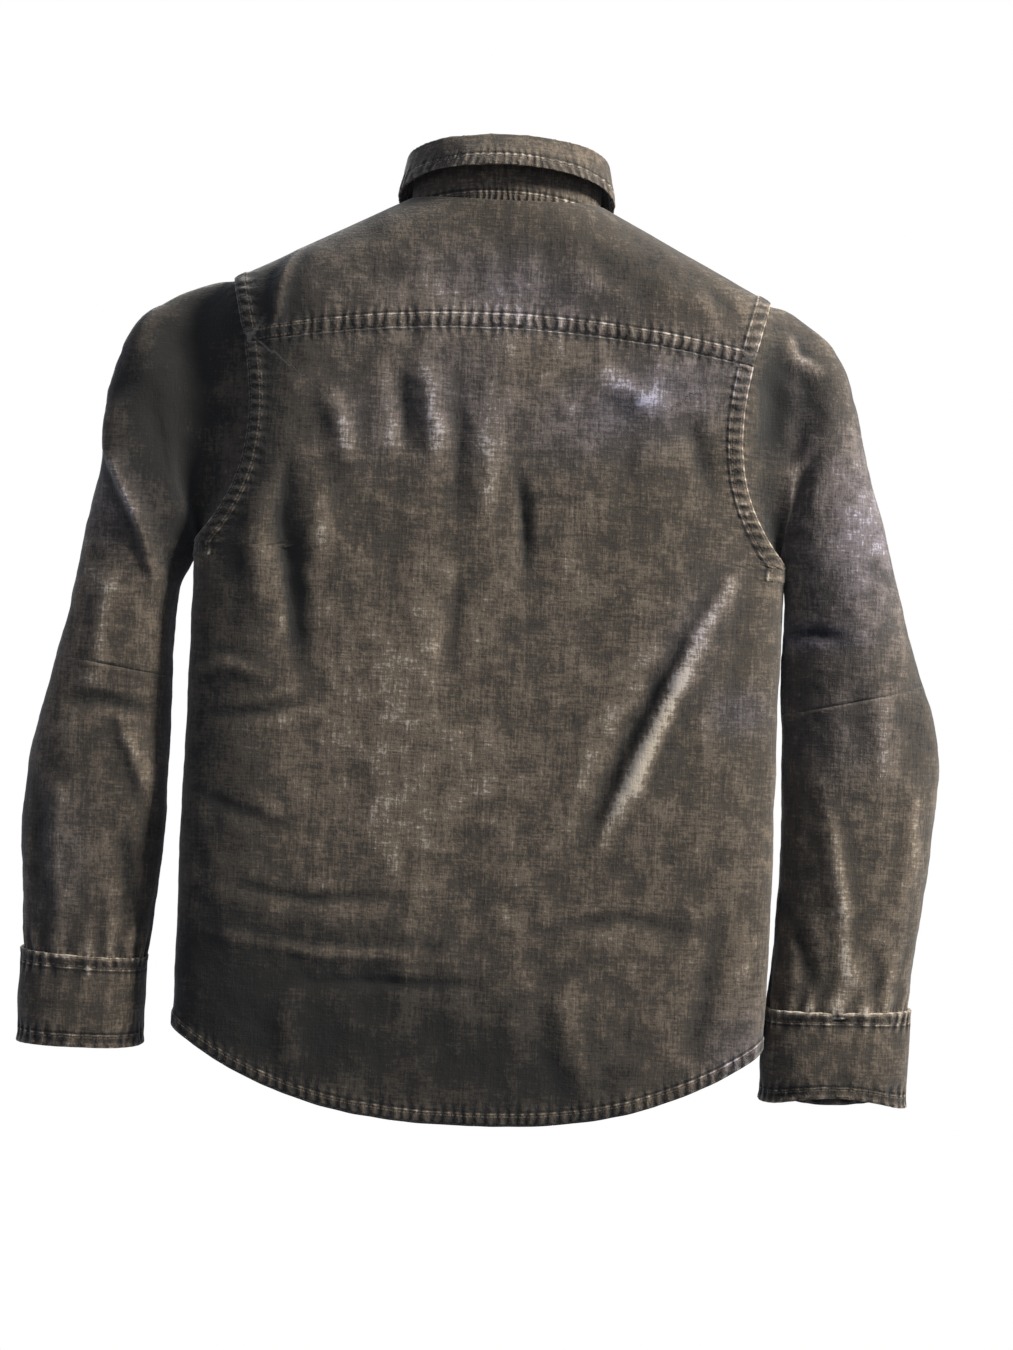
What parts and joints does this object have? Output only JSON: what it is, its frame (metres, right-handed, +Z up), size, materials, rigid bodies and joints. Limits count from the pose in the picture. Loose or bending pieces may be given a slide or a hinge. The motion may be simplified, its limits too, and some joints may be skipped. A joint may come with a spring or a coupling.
{
  "type": "work jacket",
  "caption": "Collared cotton work jacket with a shaped yoke, snap front, set-in sleeves, snap cuffs, flap chest pockets and a curved shirt-tail hem.",
  "frame": {"origin": "middle of the neck opening, level with the back neck seam", "axes": "+Z up the garment, +X towards the wearer's left sleeve, +Y out of the back"},
  "size_m": [0.76, 0.1427, 0.8092],
  "materials": {
    "jacket_cloth": "washed cotton twill",
    "seam_cloth": "felled seam, worn along the ridge",
    "lining": "plain inner cloth",
    "tape": "woven tape",
    "label": "plain woven label",
    "snap_metal": "aged, darkened"
  },
  "bodies": {
    "torso": {"back_panel": "jacket_cloth", "hem_back": "seam_cloth", "yoke_seam": "seam_cloth", "yoke": "jacket_cloth", "yoke_lining": "lining", "armhole_seam_left": "seam_cloth", "armhole_seam_right": "seam_cloth", "side_seam_left": "seam_cloth", "side_seam_right": "seam_cloth", "front_left_upper": "jacket_cloth", "front_right_upper": "jacket_cloth", "hem_front_left_side": "seam_cloth", "hem_front_right_side": "seam_cloth", "placket_left_top": "jacket_cloth", "placket_right_top": "jacket_cloth", "snap_caps_front_top": "snap_metal", "snap_sockets_front_top": "snap_metal", "snap_studs_front_top": "snap_metal", "snap_posts_front_top": "snap_metal", "collar_stand": "jacket_cloth", "hanger_loop": "tape", "neck_label": "label", "pocket_left": "jacket_cloth", "pocket_right": "jacket_cloth", "pocket_snap_stud_left": "snap_metal", "pocket_snap_stud_right": "snap_metal"},
    "front_left": {"front_left_lower": "jacket_cloth", "hem_front_left": "seam_cloth", "placket_left": "jacket_cloth", "snap_caps_front": "snap_metal", "snap_sockets_front": "snap_metal"},
    "front_right": {"front_right_lower": "jacket_cloth", "hem_front_right": "seam_cloth", "placket_right": "jacket_cloth", "snap_studs_front": "snap_metal", "snap_posts_front": "snap_metal"},
    "collar_leaf": {"collar_leaf": "jacket_cloth"},
    "pocket_flap_left": {"pocket_flap_left": "jacket_cloth", "pocket_snap_cap_left": "snap_metal", "pocket_snap_socket_left": "snap_metal"},
    "sleeve_upper_left": {"sleeve_upper_left": "jacket_cloth"},
    "sleeve_lower_left": {"sleeve_lower_left": "jacket_cloth", "sleeve_vent_left": "jacket_cloth", "cuff_left": "jacket_cloth", "cuff_snap_stud_left": "snap_metal"},
    "cuff_tab_left": {"cuff_tab_left": "jacket_cloth", "cuff_snap_cap_left": "snap_metal", "cuff_snap_socket_left": "snap_metal"},
    "pocket_flap_right": {"pocket_flap_right": "jacket_cloth", "pocket_snap_cap_right": "snap_metal", "pocket_snap_socket_right": "snap_metal"},
    "sleeve_upper_right": {"sleeve_upper_right": "jacket_cloth"},
    "sleeve_lower_right": {"sleeve_lower_right": "jacket_cloth", "sleeve_vent_right": "jacket_cloth", "cuff_right": "jacket_cloth", "cuff_snap_stud_right": "snap_metal"},
    "cuff_tab_right": {"cuff_tab_right": "jacket_cloth", "cuff_snap_cap_right": "snap_metal", "cuff_snap_socket_right": "snap_metal"}
  },
  "joints": [
    {"name": "front_left_open", "type": "hinge", "parent": "torso", "child": "front_left", "pos_m": [-0.025, -0.0524, -0.165], "axis": [-0.3285, 0, 0.9445], "range_deg": [0, 100]},
    {"name": "front_right_open", "type": "hinge", "parent": "torso", "child": "front_right", "pos_m": [0.025, -0.049, -0.223], "axis": [-0.3285, 0, -0.9445], "range_deg": [0, 50]},
    {"name": "collar_leaf_lift", "type": "slide", "parent": "torso", "child": "collar_leaf", "axis": [0, 0, 1], "range_m": [0, 0.04]},
    {"name": "pocket_flap_left_lift", "type": "hinge", "parent": "torso", "child": "pocket_flap_left", "pos_m": [0.14, -0.0536, -0.16], "axis": [-1, 0, 0], "range_deg": [0, 110]},
    {"name": "shoulder_left", "type": "hinge", "parent": "torso", "child": "sleeve_upper_left", "pos_m": [0.223, 0, -0.066], "axis": [0, -1, 0], "range_deg": [0, 80]},
    {"name": "elbow_left", "type": "hinge", "parent": "sleeve_upper_left", "child": "sleeve_lower_left", "pos_m": [0.315, -0.036, -0.43], "axis": [-1, 0, 0], "range_deg": [0, 100]},
    {"name": "cuff_tab_left_open", "type": "hinge", "parent": "sleeve_lower_left", "child": "cuff_tab_left", "pos_m": [0.348, -0.0334, -0.679], "axis": [0, 0, 1], "range_deg": [0, 120]},
    {"name": "pocket_flap_right_lift", "type": "hinge", "parent": "torso", "child": "pocket_flap_right", "pos_m": [-0.14, -0.0536, -0.16], "axis": [-1, 0, 0], "range_deg": [0, 110]},
    {"name": "shoulder_right", "type": "hinge", "parent": "torso", "child": "sleeve_upper_right", "pos_m": [-0.223, 0, -0.066], "axis": [0, 1, 0], "range_deg": [0, 80]},
    {"name": "elbow_right", "type": "hinge", "parent": "sleeve_upper_right", "child": "sleeve_lower_right", "pos_m": [-0.315, -0.036, -0.43], "axis": [-1, 0, 0], "range_deg": [0, 100]},
    {"name": "cuff_tab_right_open", "type": "hinge", "parent": "sleeve_lower_right", "child": "cuff_tab_right", "pos_m": [-0.348, -0.0334, -0.679], "axis": [0, 0, -1], "range_deg": [0, 120]}
  ],
  "couplings": [
    {"joint": "front_right_open", "follows": "front_left_open", "ratio": 0.5}
  ]
}
